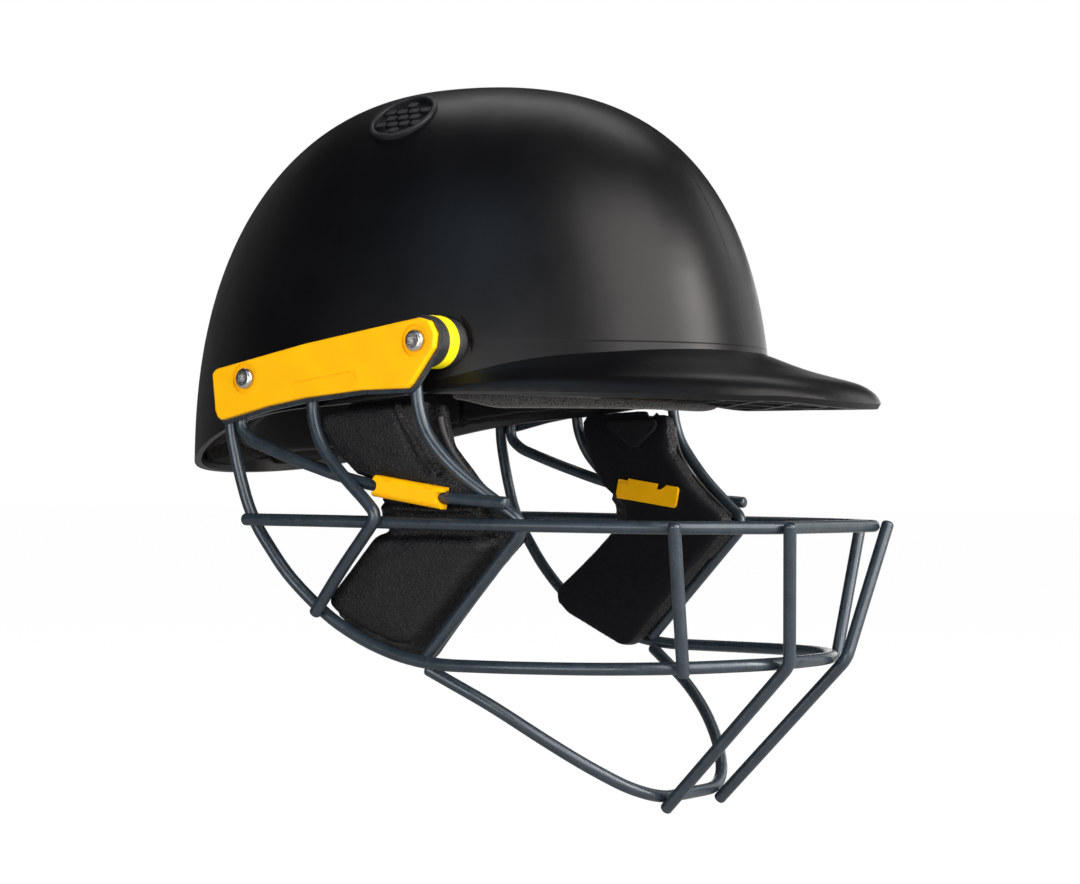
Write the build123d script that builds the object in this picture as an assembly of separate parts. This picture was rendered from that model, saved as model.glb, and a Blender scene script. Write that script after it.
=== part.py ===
"""Cricket helmet: moulded shell with a peak, foam liner, wire face guard and clip-in cheek pads.

Lengths are in mm. The front is -Y, up is +Z and the wearer's left is +X. The origin is the
centre of the head opening, level with the rim at the temples.
"""

import os
from math import acos, atan2, ceil, copysign, cos, degrees, hypot, pi, radians, sin, tan

from build123d import *

os.makedirs("parts", exist_ok=True)

overrun = 4.0
neighbour_gap = 0.3

# dome: egg-shaped plans whose size follows one profile from the base to the top
dome_half_width = 93.4
dome_front_reach = 146.9
dome_rear_reach = 124.4
widest_station = 14.7
top_shift = -10.5
top_shift_power = 2.05
dome_base = -25.6
dome_height = 164.3
profile_power = 2.472
front_plan_power = 2.1
rear_plan_power = 2.0
plan_point_count = 28
lowest_level = -44.0
profile_turns = [0, 9, 18, 27, 36, 45, 54, 62, 69, 75, 80, 84, 87, 88.8, 89.6]
shell_wall = 3.0
rim_line = [
    (-178.0, 1.4),
    (-135.0, 2.0),
    (-90.0, 3.6),
    (-35.0, 5.0),
    (0.0, 1.2),
    (30.0, -0.8),
    (60.0, -4.9),
    (80.0, -9.6),
    (100.0, -15.4),
    (120.0, -21.4),
    (140.0, -25.6),
    (178.0, -28.0),
]

# peak: one fan of sections about a vertical line at the temples
fan_centre = -35.0
peak_angles = [0, 6.3, 13.0, 19.7, 26.6, 34.3, 44.2, 56.3, 67.0, 78.8, 90]
peak_edge_radii = [147.5, 146.6, 142.6, 134.9, 124.1, 112.6, 101.8, 93.7, 89.6, 87.9, 89.0]
peak_edge_levels = [-1.2, -0.9, 0.2, 0.9, 1.4, 1.9, 2.4, 3.2, 3.8, 4.4, 4.9]
peak_root_levels = [22.7, 22.7, 22.7, 22.5, 22.1, 21.4, 20.4, 18.9, 16.4, 12.6, 8.5]
peak_run_shares = [0.345, 0.667, 0.85, 0.966, 1.0]
peak_drop_shares = [0.28, 0.474, 0.60, 0.78, 0.905]
peak_underside_share = 0.975
peak_root_overlap = 8.0
peak_root_rise = 2.6
peak_least_run = 0.5
peak_skin = 3.0
peak_rim_width = 5.0
pocket_root_gap = 2.0
pocket_section_count = 7
lattice_pitch = 14.0
lattice_rib = 1.6
lattice_half_span = 150.0
lattice_angle = 38.0
smallest_pocket = 12.0

# side plates, their covers and the four mountings
plate_inner = 99.3
plate_thickness = 1.6
cover_thickness = 2.7
plate_margin = 1.0
plate_drop = 0.7
plate_lead = 0.5
cover_outline = [
    (62.7, 14.1),
    (60.5, 16.0),
    (14.3, 24.9),
    (-32.3, 31.9),
    (-43.0, 33.4),
    (-48.0, 32.0),
    (-50.9, 27.0),
    (-50.2, 21.6),
    (-39.4, 7.9),
    (-37.2, 6.1),
    (-14.2, 5.8),
    (14.1, 3.3),
    (33.5, 0.3),
    (48.3, -3.0),
    (57.8, -5.0),
    (59.6, -3.9),
    (60.9, -1.2),
]
cover_corner = 1.6
cover_edge_round = 0.9
front_mount = (-41.5, 24.5)
rear_mount = (44.8, 11.7)
bush_radius = 10.2
bush_ring_radius = 10.5
bush_outer_length = 5.4
bush_ring_length = 6.0
bush_seat = 81.0
bush_boss_radius = 12.6
bush_boss_face = 82.4
bush_boss_inner = 76.5
rear_bush_radius = 8.5
rear_boss_face = 88.6
rear_boss_radius = 10.0
rear_boss_inner = 84.4
rear_seat = 88.0
bush_round = 0.9
screw_radius = 2.5
screw_head_radius = 4.3
screw_head_height = 2.6
screw_head_round = 1.5
screw_socket_radius = 1.7
screw_socket_depth = 1.5
socket_lobes = 6
socket_lobe_share = 0.3
dish_radius = 6.4
dish_depth = 0.9
nut_flange_radius = 7.5
nut_flange_thickness = 1.6
nut_barrel_radius = 3.9
nut_pocket_radius = 9.0
nut_barrel_share = 0.7
pill_length = 34.0
pill_height = 6.0
pill_depth = 0.5
pill_place = (4.0, 8.6)
pill_tilt = 7.6

# crown vents
vent_centre = (52.2, 3.6)
vent_radius = 15.0
vent_ring_width = 1.9
vent_ring_rise = 0.9
vent_base_drop = 1.6
vent_base_thickness = 1.6
tile_long = 4.6
tile_short = 2.9
tile_rise = 1.5
tile_pitch_long = 6.0
tile_pitch_short = 4.6
tile_rows = 5
tile_round = 0.7
slit_long = 2.6
slit_short = 1.2
duct_radius = 9.5

# liner layers: how far each lies inside the dome at the sides, front, rear and top
shell_inner = (shell_wall, shell_wall, shell_wall, shell_wall)
liner_outer = (3.3, 3.3, 3.3, 3.3)
liner_inner = (12.0, 24.0, 22.0, 20.0)
comfort_outer = (12.3, 24.3, 22.3, 20.3)
comfort_inner = (18.0, 32.0, 30.0, 27.0)
liner_rim_rise = 2.2
comfort_rim_rise = 3.6
front_band_rear = -36.5
front_band_low = -0.8
front_band_high = 33.0
side_band_front = -30.0
side_band_rear = 58.0
side_band_high = 38.0
rear_band_front = 62.0
rear_band_high = 27.0
crown_pad_radius = 46.0
crown_hole_radius = 9.0
crown_pad_centre = 14.0

# wires of the guard
wire_radius = 2.5
wire_end_round = 1.5
wire_bend_share = 0.48
clip_rod_bend = 6.0
side_brace_apex = 6
rear_arc_points = [
    (97.1, 57.4, 9.0),
    (97.1, 58.2, -6.5),
    (96.3, 54.0, -26.0),
    (95.1, 47.6, -45.6),
    (92.7, 31.2, -67.6),
    (90.4, 18.9, -79.0),
    (89.4, 8.5, -86.6),
    (88.6, -6.4, -94.0),
    (87.9, -21.0, -98.8),
    (87.3, -33.5, -101.2),
    (86.9, -45.0, -102.0),
    (84.8, -72.0, -101.9),
    (76.5, -108.0, -101.5),
    (60.2, -134.6, -101.0),
    (24.5, -158.4, -100.3),
]
upper_bar_points = [
    (99.7, 48.5, -45.6),
    (98.3, 15.0, -45.8),
    (95.2, -18.0, -46.2),
    (92.9, -56.0, -46.7),
    (90.3, -82.0, -46.9),
    (84.6, -113.0, -47.1),
    (74.4, -139.2, -47.3),
    (39.8, -168.0, -47.3),
]
bar_corner_round = 12.0
chin_bar_points = [
    (85.4, -34.0, -103.6),
    (75.0, -58.6, -117.9),
    (65.5, -74.0, -129.6),
    (52.5, -87.6, -141.3),
    (37.0, -98.4, -151.2),
    (21.5, -104.2, -155.9),
]
inner_vertical_points = [(42.0, -172.8, -45.4), (24.0, -163.0, -100.6), (21.3, -105.2, -161.0)]
outer_vertical_points = [(77.2, -142.8, -45.4), (62.5, -138.4, -104.2)]
vertical_bend = 10.0
clip_rod_points = [
    (97.0, 51.4, 0.8),
    (97.1, 51.9, -8.6),
    (96.8, 46.0, -13.6),
    (96.4, 27.0, -20.4),
    (95.2, 4.0, -27.4),
    (94.3, -8.5, -30.6),
    (93.4, -47.3, -36.3),
    (92.7, -78.0, -38.4),
]
side_brace_points = [
    (97.0, 14.8, 9.5),
    (97.2, 14.4, -4.0),
    (97.9, 9.9, -15.0),
    (98.4, 2.9, -23.0),
    (98.9, -6.6, -31.3),
    (99.3, -15.0, -38.2),
    (99.5, -20.4, -43.8),
    (98.8, -13.4, -51.6),
    (97.2, -0.8, -65.0),
    (94.7, 15.2, -83.8),
]
front_brace_points = [
    (97.0, -36.6, 12.5),
    (97.0, -38.4, -2.0),
    (96.7, -42.0, -11.4),
    (95.6, -49.0, -20.2),
    (93.4, -56.0, -27.2),
    (90.8, -63.3, -33.0),
    (88.3, -70.3, -38.2),
    (85.7, -82.2, -47.0),
    (84.9, -33.6, -99.5),
]
elbow_bend = 6.0

# cheek pads: an inner face that leans with the wires, and two lobes that fill the windows
pad_face_start = 83.9
pad_face_along = 0.0568
pad_face_up = 0.0949
pad_slab = 7.0
pad_slab_round = 2.2
pad_outline = [
    (4.2, -1.4),
    (-2.0, -18.5),
    (-9.5, -30.5),
    (-23.4, -40.8),
    (-23.4, -46.0),
    (13.5, -79.0),
    (13.0, -85.0),
    (7.0, -90.0),
    (-23.5, -103.4),
    (-28.5, -102.8),
    (-33.2, -98.8),
    (-74.6, -49.6),
    (-73.6, -44.2),
    (-56.8, -29.8),
    (-45.4, -15.4),
    (-43.0, -1.4),
]
pad_outer_outline = [
    (8.0, -1.4),
    (2.2, -18.0),
    (-4.8, -29.5),
    (-18.5, -40.8),
    (-18.5, -46.4),
    (15.0, -78.4),
    (13.4, -84.0),
    (6.6, -89.4),
    (-23.5, -102.6),
    (-29.5, -102.9),
    (-34.4, -99.4),
    (-80.9, -50.6),
    (-78.8, -44.2),
    (-60.5, -29.5),
    (-48.0, -15.0),
    (-45.0, -1.4),
]
pad_corner = 3.0
pad_tongue = [(2.4, 2.2), (3.4, -1.4), (-1.0, -16.0), (-30.0, -16.0), (-32.8, -10.0), (-32.8, 4.2)]
pad_tongue_corner = 1.6
upper_lobe = [
    (7.4, -0.2),
    (6.8, -6.0),
    (1.4, -15.0),
    (-5.8, -23.0),
    (-12.5, -28.5),
    (-21.0, -32.0),
    (-40.0, -35.0),
    (-61.0, -38.5),
    (-52.5, -29.0),
    (-43.0, -20.5),
    (-37.5, -10.5),
    (-34.8, 2.8),
]
middle_lobe = [(-17.6, -33.0), (-16.4, -53.0), (-58.0, -53.0), (-67.0, -43.5), (-52.0, -33.0)]
lower_lobe = [
    (-14.0, -49.4),
    (13.0, -78.3),
    (6.3, -83.4),
    (-7.6, -90.4),
    (-22.5, -95.2),
    (-30.4, -94.4),
    (-73.0, -49.6),
]
lobe_corner = 3.6
lobe_point_count = 48
lobe_draw_shares = [0, 0.04, 0.14, 0.32, 0.6, 1.0]
lobe_rise_shares = [0, 0.45, 0.70, 0.86, 0.95, 1.0]
lobe_sink = 1.0
upper_lobe_rise = 14.6
upper_lobe_draw = 0.25
upper_lobe_lean = 6.0
upper_lobe_centre = (-9.0, -15.0)
middle_lobe_rise = 11.6
middle_lobe_draw = 0.1
middle_lobe_lean = 0.0
middle_lobe_centre = (-30.0, -43.0)
lower_lobe_rise = 14.6
lower_lobe_draw = 0.25
lower_lobe_lean = 3.2
lower_lobe_centre = (-17.0, -73.0)
piping_radius = 1.4
piping_points = [(-42.6, -4.0), (-46.2, -15.8), (-58.6, -30.5), (-75.0, -44.0)]
piping_rise_share = 0.5
tab_outline = [(-40.0, -1.6), (-38.0, -6.0), (-29.5, -13.5), (-25.5, -13.5), (-13.0, -5.0), (-11.0, -1.6)]
tab_thickness = 2.0
tab_corner = 1.5

# pad clips
clip_length = 33.5
clip_height = 8.6
clip_wall = 1.9
clip_grip = 1.2
clip_centre = (-33.0, -34.2)
clip_lean = 8.4
clip_rod_station = 93.73
clip_round = 2.4
clip_end_scoop = 2.4
clip_slot_long = 4.0
clip_slot_wide = 0.9
clip_slot_deep = 0.9
leg_spacing = 21.0
leg_long = 5.0
leg_thick = 1.3
leg_fit = 0.08
leg_stop_short = 1.5
inner_plate_length = 33.0
inner_plate_height = 9.4
inner_plate_thick = 2.2
inner_plate_lead = -3.5
inner_plate_corner = 1.4


def x_cylinder(radius, start, stop, place):
    """Cylinder along X between two X stations, centred on a (y, z) place."""
    ring = Plane(origin=(start, place[0], place[1]), z_dir=(1, 0, 0)) * Circle(radius)
    return extrude(ring, stop - start, dir=(1, 0, 0))


def other_side(shape):
    """The mirrored twin on the wearer's right."""
    return mirror(shape, about=Plane.YZ)


def plan_size(level, inset):
    """Half width, front reach, rear reach and centre of the dome's plan at a level."""
    side_in, front_in, rear_in, top_in = inset
    share = min(max((level - dome_base) / (dome_height - top_in), 0), 1)
    size = (1 - share**profile_power) ** (1 / profile_power)
    centre = widest_station + top_shift * share**top_shift_power
    wide = (dome_half_width - side_in) * size
    front = (dome_front_reach - front_in) * size
    rear = (dome_rear_reach - rear_in) * size
    return wide, front, rear, centre


def dome_plan(level, inset):
    """Closed smooth plan of the dome at a level."""
    wide, front, rear, centre = plan_size(level, inset)
    points = []
    for number in range(plan_point_count):
        turn = pi / 2 + 2 * pi * number / plan_point_count
        power = rear_plan_power if sin(turn) > 0 else front_plan_power
        across = copysign(abs(cos(turn)) ** (2 / power), cos(turn))
        along = copysign(abs(sin(turn)) ** (2 / power), sin(turn))
        reach = rear if along > 0 else front
        points.append(Vector(wide * across, centre + reach * along, level))
    parameters = [number / plan_point_count for number in range(plan_point_count + 1)]
    return Wire([Edge.make_spline(points, periodic=True, parameters=parameters)])


def dome_solid(inset):
    """Dome from below the rim to the top, drawn in by the four insets."""
    height = dome_height - inset[3]
    plans = [dome_plan(lowest_level, inset)]
    for turn in profile_turns:
        level = dome_base + height * sin(radians(turn)) ** (2 / profile_power)
        plans.append(dome_plan(level, inset))
    return Solid.make_loft(plans)


def inside_dome(x, y, z):
    """Whether a point lies inside the dome's outer surface."""
    wide, front, rear, centre = plan_size(z, (0, 0, 0, 0))
    reach = rear if y > centre else front
    power = rear_plan_power if y > centre else front_plan_power
    return (abs(x) / wide) ** power + (abs(y - centre) / reach) ** power < 1


def dome_radius(angle, level):
    """Distance from the fan's centre line to the dome at an angle from the front."""
    low, high = 0.0, dome_front_reach
    while high - low > neighbour_gap / 100:
        middle = (low + high) / 2
        x = middle * sin(radians(angle))
        y = fan_centre - middle * cos(radians(angle))
        if inside_dome(x, y, level):
            low = middle
        else:
            high = middle
    return low


def below_rim(rise):
    """Everything under the rim line raised by a given amount."""
    points = [(y, z + rise) for y, z in rim_line]
    first, last = points[0], points[-1]
    depth = lowest_level - overrun
    with BuildLine(Plane.YZ) as outline:
        Spline(*points)
        Polyline(last, (last[0], depth), (first[0], depth), first)
    face = make_face(outline.line)
    wide = dome_half_width + overrun
    return extrude(face, wide, both=True)


def fan_point(angle, radius, level):
    """Point of a peak section at an angle from the front."""
    turn = radians(angle)
    return Vector(radius * sin(turn), fan_centre - radius * cos(turn), level)


def peak_station(number):
    """Root radius, root level, run and drop of the peak at one of its angles."""
    angle = peak_angles[number]
    root_level = peak_root_levels[number]
    root = dome_radius(angle, root_level)
    run = max(peak_edge_radii[number] - root, peak_least_run)
    drop = root_level - peak_edge_levels[number]
    return root, root_level, run, drop


def peak_top_points(number):
    """Radius and level of the points that carry the peak's upper surface."""
    root, root_level, run, drop = peak_station(number)
    points = [(root - peak_root_overlap, root_level + peak_root_rise), (root, root_level)]
    for run_share, drop_share in zip(peak_run_shares, peak_drop_shares):
        points.append((root + run * run_share, root_level - drop * drop_share))
    return points


def peak_section(number, side):
    """Closed section of the peak in one plane of the fan."""
    angle = side * peak_angles[number]
    root, root_level, run, drop = peak_station(number)
    top = [fan_point(angle, r, z) for r, z in peak_top_points(number)]
    low = root_level - drop
    lip = fan_point(angle, root + run * peak_underside_share, low)
    heel = fan_point(angle, root - peak_root_overlap, low)
    edges = [
        Edge.make_spline(top),
        Edge.make_line(top[-1], lip),
        Edge.make_line(lip, heel),
        Edge.make_line(heel, top[0]),
    ]
    return Wire(edges)


def peak_solid():
    """Whole peak from one temple round to the other."""
    last = len(peak_angles) - 1
    wires = [peak_section(number, -1) for number in range(last, 0, -1)]
    wires += [peak_section(number, 1) for number in range(last + 1)]
    return Solid.make_loft(wires)


def peak_top_level(angle, radius):
    """Level of the peak's upper surface at an angle from the front and a radius."""
    levels = []
    number = 0
    while number < len(peak_angles) - 2 and peak_angles[number + 1] < angle:
        number += 1
    for station in (number, number + 1):
        points = peak_top_points(station)
        level = points[0][1] if radius < points[0][0] else points[-1][1]
        for (r0, z0), (r1, z1) in zip(points, points[1:]):
            if r0 <= radius <= r1:
                level = z0 + (z1 - z0) * (radius - r0) / (r1 - r0)
                break
        levels.append(level)
    share = (angle - peak_angles[number]) / (peak_angles[number + 1] - peak_angles[number])
    return levels[0] + (levels[1] - levels[0]) * share


def lattice_pockets():
    """Diamond pockets left between the ribs under the peak, each with a level roof."""
    near, far = [], []
    for number in range(pocket_section_count):
        root, root_level, run, drop = peak_station(number)
        near.append((peak_angles[number], root + pocket_root_gap))
        far.append((peak_angles[number], root + run - peak_rim_width))
    outline = [fan_point(-angle, radius, 0) for angle, radius in reversed(near)]
    outline += [fan_point(angle, radius, 0) for angle, radius in near[1:]]
    outline += [fan_point(angle, radius, 0) for angle, radius in reversed(far)]
    outline += [fan_point(-angle, radius, 0) for angle, radius in far[1:]]
    zone = Face(Wire.make_polygon(outline, close=True))
    count = ceil(lattice_half_span / lattice_pitch)
    ribs = []
    middle = Pos(0, fan_centre - dome_front_reach / 2, 0)
    for lean in (lattice_angle, -lattice_angle):
        for number in range(-count, count + 1):
            strip = Rectangle(lattice_rib, 2 * lattice_half_span)
            ribs.append(middle * Rot(0, 0, lean) * Pos(number * lattice_pitch, 0, 0) * strip)
    floor = min(peak_edge_levels) - overrun
    pockets = []
    for cell in (Sketch() + zone - ribs).faces():
        if cell.area < smallest_pocket:
            continue
        roofs = []
        for corner in cell.vertices():
            out = fan_centre - corner.Y
            angle = degrees(atan2(abs(corner.X), out))
            roofs.append(peak_top_level(angle, hypot(corner.X, out)) - peak_skin)
        pockets.append(Pos(0, 0, floor) * extrude(cell, min(roofs) - floor, dir=(0, 0, 1)))
    return pockets


def vent_plane():
    """Plane on the left vent with its Z along the dome's outward normal."""
    x, y = vent_centre
    step = neighbour_gap

    def height(a, b):
        low, high = dome_base, dome_base + dome_height
        while high - low > step / 100:
            middle = (low + high) / 2
            if inside_dome(a, b, middle):
                low = middle
            else:
                high = middle
        return low

    level = height(x, y)
    slope_x = (height(x + step, y) - height(x - step, y)) / (2 * step)
    slope_y = (height(x, y + step) - height(x, y - step)) / (2 * step)
    normal = Vector(-slope_x, -slope_y, 1).normalized()
    return Plane(origin=(x, y, level), x_dir=(0, 1, 0), z_dir=normal)


def vent_grille(plane):
    """Raised ring with a slotted base and staggered blocks."""
    depth = vent_base_drop + vent_base_thickness
    ring = Cylinder(vent_radius, depth + vent_ring_rise, align=(Align.CENTER, Align.CENTER, Align.MIN))
    core = Cylinder(vent_radius - vent_ring_width, 2 * dome_height)
    ring = Pos(0, 0, -depth) * ring - core
    rim = ring.edges().group_by(Axis.Z)[-1]
    ring = fillet(rim, vent_ring_width / 3)
    base = Cylinder(
        vent_radius - vent_ring_width / 2,
        vent_base_thickness,
        align=(Align.CENTER, Align.CENTER, Align.MIN),
    )
    grille = ring + Pos(0, 0, -depth) * base
    reach = vent_radius - vent_ring_width - tile_long / 2
    places = []
    slits = []
    for row in range(-tile_rows // 2 + 1, tile_rows // 2 + 1):
        for column in range(-tile_rows, tile_rows + 1):
            along = (column + (row % 2) / 2) * tile_pitch_long
            across = row * tile_pitch_short
            if hypot(along, across) < reach:
                places.append((along, across))
                beside = along + tile_pitch_long / 2
                if hypot(beside, across) < reach:
                    slits.append((beside, across))
    block_sketch = RectangleRounded(tile_long, tile_short, tile_round)
    slit_sketch = RectangleRounded(slit_short, slit_long, slit_short / 3)
    block = extrude(block_sketch, tile_rise)
    slit = extrude(slit_sketch, overrun, both=True)
    top = -vent_base_drop
    for along, across in places:
        grille += Pos(along, across, top) * block
    grille -= [Pos(along, across, top) * slit for along, across in slits]
    return plane.location * grille


def wire_path(points, bends=None):
    """Straight runs joined by arcs, as a bent wire; bends gives a radius for chosen corners."""
    bends = bends or {}
    corners = [Vector(*point) for point in points]
    edges = []
    start = corners[0]
    for number in range(1, len(corners) - 1):
        corner = corners[number]
        before = (corner - corners[number - 1]).normalized()
        after = (corners[number + 1] - corner).normalized()
        turn = acos(max(-1, min(1, before.dot(after))))
        room = wire_bend_share * min(
            (corner - corners[number - 1]).length, (corners[number + 1] - corner).length
        )
        radius = bends.get(number, room / tan(turn / 2))
        setback = min(room, radius * tan(turn / 2))
        radius = setback / tan(turn / 2)
        first = corner - before * setback
        second = corner + after * setback
        inward = (after - before).normalized()
        middle = corner + inward * (radius / cos(turn / 2) - radius)
        edges.append(Edge.make_line(start, first))
        edges.append(Edge.make_three_point_arc(first, middle, second))
        start = second
    edges.append(Edge.make_line(start, corners[-1]))
    return Wire(edges)


def wire_rod(points, bends=None, radius=wire_radius):
    """Round wire along a bent path with rounded ends."""
    path = wire_path(points, bends)
    section = Plane(origin=path @ 0, z_dir=path % 0) * Circle(radius)
    rod = sweep(section, path=path)
    ends = [face for face in rod.faces() if face.geom_type == GeomType.PLANE]
    rims = ShapeList([edge for face in ends for edge in face.edges()])
    return fillet(rims, wire_end_round)


def both_ends(points):
    """Points from the wearer's right round to the left of a bar that crosses the middle."""
    right = [(-x, y, z) for x, y, z in points]
    return right + list(reversed(points))


def side_face(outline, station, corner):
    """Rounded polygon in the YZ directions at an X station."""
    lines = Polyline([(station, y, z) for y, z in outline], close=True)
    face = Face(Wire(lines.edges()))
    return face.fillet_2d(corner, face.vertices())


def pad_plane():
    """Plane of the left pad's inner face, with its Z pointing outward."""
    normal = Vector(1, -pad_face_along, -pad_face_up).normalized()
    return Plane(origin=(pad_face_start, 0, 0), x_dir=(pad_face_along, 1, 0), z_dir=normal)


def pad_point(y, z, rise=0.0):
    """Point on the left pad's inner face at a given y and z, lifted off the face."""
    normal = Vector(1, -pad_face_along, -pad_face_up).normalized()
    on_face = Vector(pad_face_start + pad_face_along * y + pad_face_up * z, y, z)
    return on_face + normal * rise


def pad_face(outline, rise, corner):
    """Rounded outline lifted off the pad's inner face."""
    wire = Wire.make_polygon([pad_point(y, z, rise) for y, z in outline], close=True)
    face = Face(wire)
    return face.fillet_2d(corner, face.vertices())


def pad_lobe(outline, rise, draw, lean, centre_place):
    """Crowned lobe with drawn-in sides that leans to the rear, standing on the pad's slab."""
    normal = pad_plane().z_dir
    rim = pad_face(outline, 0, lobe_corner).outer_wire()
    samples = [rim.position_at(number / lobe_point_count) for number in range(lobe_point_count)]
    parameters = [number / lobe_point_count for number in range(lobe_point_count + 1)]
    centre = pad_point(*centre_place)
    start = pad_slab - lobe_sink
    wires = []
    for draw_share, rise_share in zip(lobe_draw_shares, lobe_rise_shares):
        size = 1 - draw * draw_share
        lift = normal * (start + (rise - start) * rise_share) + Vector(0, lean * rise_share, 0)
        points = [centre + (point - centre) * size + lift for point in samples]
        wires.append(Wire([Edge.make_spline(points, periodic=True, parameters=parameters)]))
    return Solid.make_loft(wires)


def rounded_bush(bush):
    """Bush with both rims rounded."""
    rims = ShapeList([edge for edge in bush.edges() if edge.geom_type == GeomType.CIRCLE])
    return fillet(rims, bush_round)


def slab_between(axis, low, high):
    """Block that holds everything between two stations of one axis."""
    reach = 2 * dome_front_reach
    sizes = [2 * reach, 2 * reach, 2 * reach]
    middle = [0, 0, 0]
    sizes[axis] = high - low
    middle[axis] = (high + low) / 2
    return Pos(*middle) * Box(*sizes)


def export_pair(shape, name):
    """Left piece and its mirrored twin as two nodes."""
    export_step(shape, f"parts/{name}_left.step")
    export_step(other_side(shape), f"parts/{name}_right.step")


def trimmed(first, *cutters):
    """One solid cut back to where it meets its neighbours; the largest piece is kept."""
    left = Part() + first - list(cutters)
    return left.solids().sort_by(SortBy.VOLUME)[-1]


def clip_plane(station, along, level):
    """Plane at the pad clip with X along the rod, Y up and Z outward."""
    lean = radians(clip_lean)
    return Plane(
        origin=(station, along, level),
        x_dir=(0, -cos(lean), -sin(lean)),
        z_dir=(1, 0, 0),
    )


dome = dome_solid((0, 0, 0, 0))
hollow = dome_solid(shell_inner)
rim_cut = below_rim(0)
peak = peak_solid()

side_cover_face = plate_inner + plate_thickness + cover_thickness
grille_plane = vent_plane()

# shell: dome and peak in one moulding, hollowed, with bosses at the four mountings
shell = Part() + dome - rim_cut + (Part() + peak - lattice_pockets())
shell -= hollow
bosses = []
recesses = []
for mirrored in (False, True):
    front_boss = x_cylinder(bush_boss_radius, bush_boss_inner, bush_boss_face, front_mount)
    front_recess = x_cylinder(bush_ring_radius, bush_seat, plate_inner, front_mount)
    front_bore = x_cylinder(nut_barrel_radius, bush_boss_inner - overrun, bush_seat, front_mount)
    rear_boss = x_cylinder(rear_boss_radius, rear_boss_inner, rear_boss_face, rear_mount)
    rear_recess = x_cylinder(rear_bush_radius, rear_seat, plate_inner, rear_mount)
    rear_bore = x_cylinder(nut_barrel_radius, rear_boss_inner - overrun, rear_seat, rear_mount)
    vent_hole = grille_plane.location * Cylinder(vent_radius, 4 * vent_radius)
    group = [front_boss, rear_boss]
    taken = [front_recess, front_bore, rear_recess, rear_bore, vent_hole]
    bosses += [other_side(item) for item in group] if mirrored else group
    recesses += [other_side(item) for item in taken] if mirrored else taken
shell = shell + bosses
shell = shell - recesses
print("shell", shell.is_valid, len(shell.solids()), round(shell.volume))
export_step(shell, "parts/outer_shell.step")

# vent grilles
grille = vent_grille(grille_plane)
export_pair(grille, "vent_grille")

# mountings, from the cover inwards: screw, cover, plate, bushes and shell nut
cover_face = side_face(cover_outline, plate_inner + plate_thickness, cover_corner)
cover = extrude(cover_face, cover_thickness, dir=(1, 0, 0))
outer_rim = cover.faces().sort_by(Axis.X)[-1].edges()
cover = fillet(outer_rim, cover_edge_round)
dishes = []
bores = []
for place in (front_mount, rear_mount):
    dishes.append(x_cylinder(dish_radius, side_cover_face - dish_depth, side_cover_face + overrun, place))
    bores.append(x_cylinder(screw_radius, plate_inner - overrun, side_cover_face, place))
pill_lean = radians(pill_tilt)
pill_plane = Plane(
    origin=(side_cover_face - pill_depth, *pill_place),
    x_dir=(0, cos(pill_lean), -sin(pill_lean)),
    z_dir=(1, 0, 0),
)
pill = extrude(pill_plane * SlotOverall(pill_length, pill_height), pill_depth + overrun, dir=(1, 0, 0))
cover = Part() + cover - dishes - bores - pill
export_pair(cover, "plate_cover")

plate_rim = side_face(cover_outline, plate_inner, cover_corner)
plate_rim = Face(plate_rim.outer_wire().offset_2d(plate_margin))
if plate_rim.normal_at().X < 0:
    plate_rim = -plate_rim
plate = extrude(Pos(0, -plate_lead, -plate_drop) * plate_rim, plate_thickness, dir=(1, 0, 0))
plate = Part() + plate - bores
export_pair(plate, "side_plate")

ring_start = plate_inner - bush_outer_length - bush_ring_length
ring_stop = plate_inner - bush_outer_length
bush_bore = x_cylinder(screw_radius, bush_seat - overrun, plate_inner + overrun, front_mount)
outer_bush = x_cylinder(bush_radius, ring_stop, plate_inner, front_mount)
ring_bush = x_cylinder(bush_ring_radius, ring_start, ring_stop, front_mount)
inner_bush = x_cylinder(bush_radius, bush_seat, ring_start, front_mount)
rear_bush = x_cylinder(rear_bush_radius, rear_seat, plate_inner, rear_mount)
rear_bore = x_cylinder(screw_radius, rear_seat - overrun, plate_inner + overrun, rear_mount)
export_pair(rounded_bush(outer_bush) - bush_bore, "outer_bush")
export_pair(rounded_bush(ring_bush) - bush_bore, "bush_ring")
export_pair(rounded_bush(inner_bush) - bush_bore, "inner_bush")
export_pair(rounded_bush(rear_bush) - rear_bore, "rear_bush")

screws = []
nuts = []
seats = ((front_mount, bush_boss_inner, bush_seat), (rear_mount, rear_boss_inner, rear_seat))
for place, boss_inner, seat in seats:
    head_base = side_cover_face - dish_depth
    head = x_cylinder(screw_head_radius, head_base, head_base + screw_head_height, place)
    head = fillet(head.edges().sort_by(Axis.X)[-1], screw_head_round)
    shank = x_cylinder(screw_radius, boss_inner - nut_flange_thickness, head_base, place)
    socket_floor = head_base + screw_head_height - screw_socket_depth
    socket_plane = Plane(origin=(socket_floor, *place), z_dir=(1, 0, 0))
    socket = socket_plane * Circle(screw_socket_radius)
    for lobe_place in PolarLocations(screw_socket_radius, socket_lobes):
        socket += socket_plane * lobe_place * Circle(screw_socket_radius * socket_lobe_share)
    screw = Part() + head + shank - extrude(socket, screw_socket_depth + overrun, dir=(1, 0, 0))
    flange = x_cylinder(nut_flange_radius, boss_inner - nut_flange_thickness, boss_inner, place)
    barrel_stop = boss_inner + (seat - boss_inner) * nut_barrel_share
    barrel = x_cylinder(nut_barrel_radius, boss_inner, barrel_stop, place)
    bore = x_cylinder(screw_radius, boss_inner - overrun, seat, place)
    nut = Part() + flange + barrel - bore
    screws += [screw, other_side(screw)]
    nuts += [nut, other_side(nut)]
export_step(Compound(children=[Part() + item for item in screws]), "parts/mounting_screws.step")
export_step(Compound(children=[Part() + item for item in nuts]), "parts/shell_nuts.step")
print("mountings done")

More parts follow.
